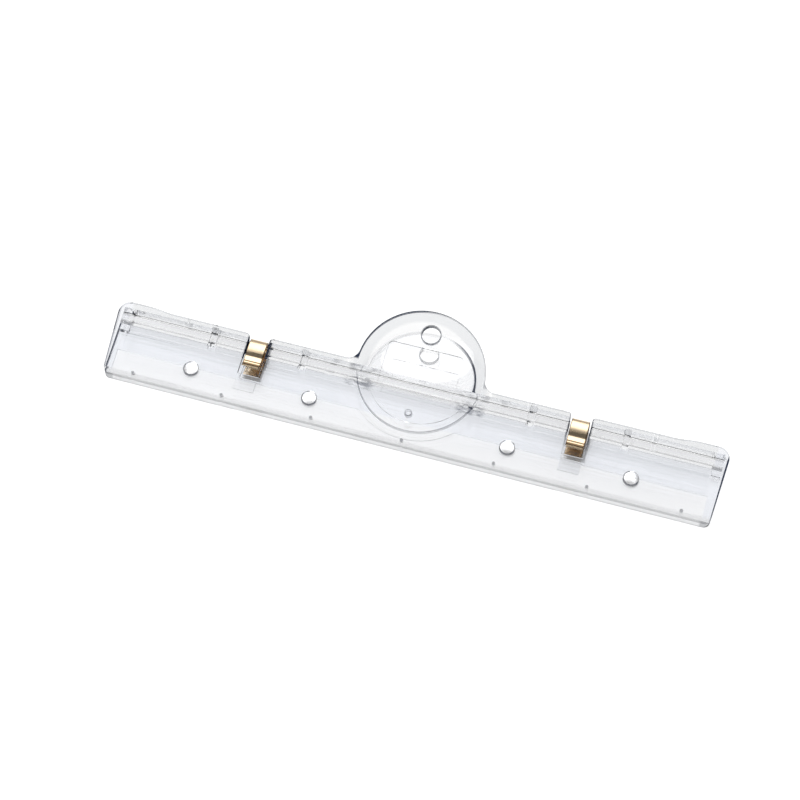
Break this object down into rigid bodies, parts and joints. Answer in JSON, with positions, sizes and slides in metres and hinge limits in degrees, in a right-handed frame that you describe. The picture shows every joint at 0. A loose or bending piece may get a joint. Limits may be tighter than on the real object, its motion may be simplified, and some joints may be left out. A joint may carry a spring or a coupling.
{
  "type": "magnetic menu clip",
  "caption": "Wide clear sprung clip for menu sheets, with round thumb discs, U-shaped spring clips and disc magnets in its flat back.",
  "frame": {"origin": "middle of the strip's flat back face, halfway along it and halfway between its jaw edge and its top edge", "axes": "+X along the strip, +Y from the jaw edge to the thumb discs, +Z from the flat back to the front plate"},
  "size_m": [0.21, 0.0475, 0.0141],
  "materials": {
    "clear_plastic": "gloss",
    "spring_strip": "bright",
    "magnet_nickel": "bright"
  },
  "bodies": {
    "back": {"back_plate": "clear_plastic", "left_spring": "spring_strip", "right_spring": "spring_strip", "magnet_1": "magnet_nickel", "magnet_2": "magnet_nickel", "magnet_3": "magnet_nickel", "magnet_4": "magnet_nickel"},
    "front": {"front_plate": "clear_plastic"}
  },
  "joints": [
    {"name": "jaw_hinge", "type": "hinge", "parent": "back", "child": "front", "pos_m": [0, 0.0084, 0.0043], "axis": [-1, 0, 0], "range_deg": [0, 20], "stiffness_Nm_per_rad": 0.4, "springref_deg": -28.65, "deforming": ["left_spring", "right_spring"]}
  ]
}
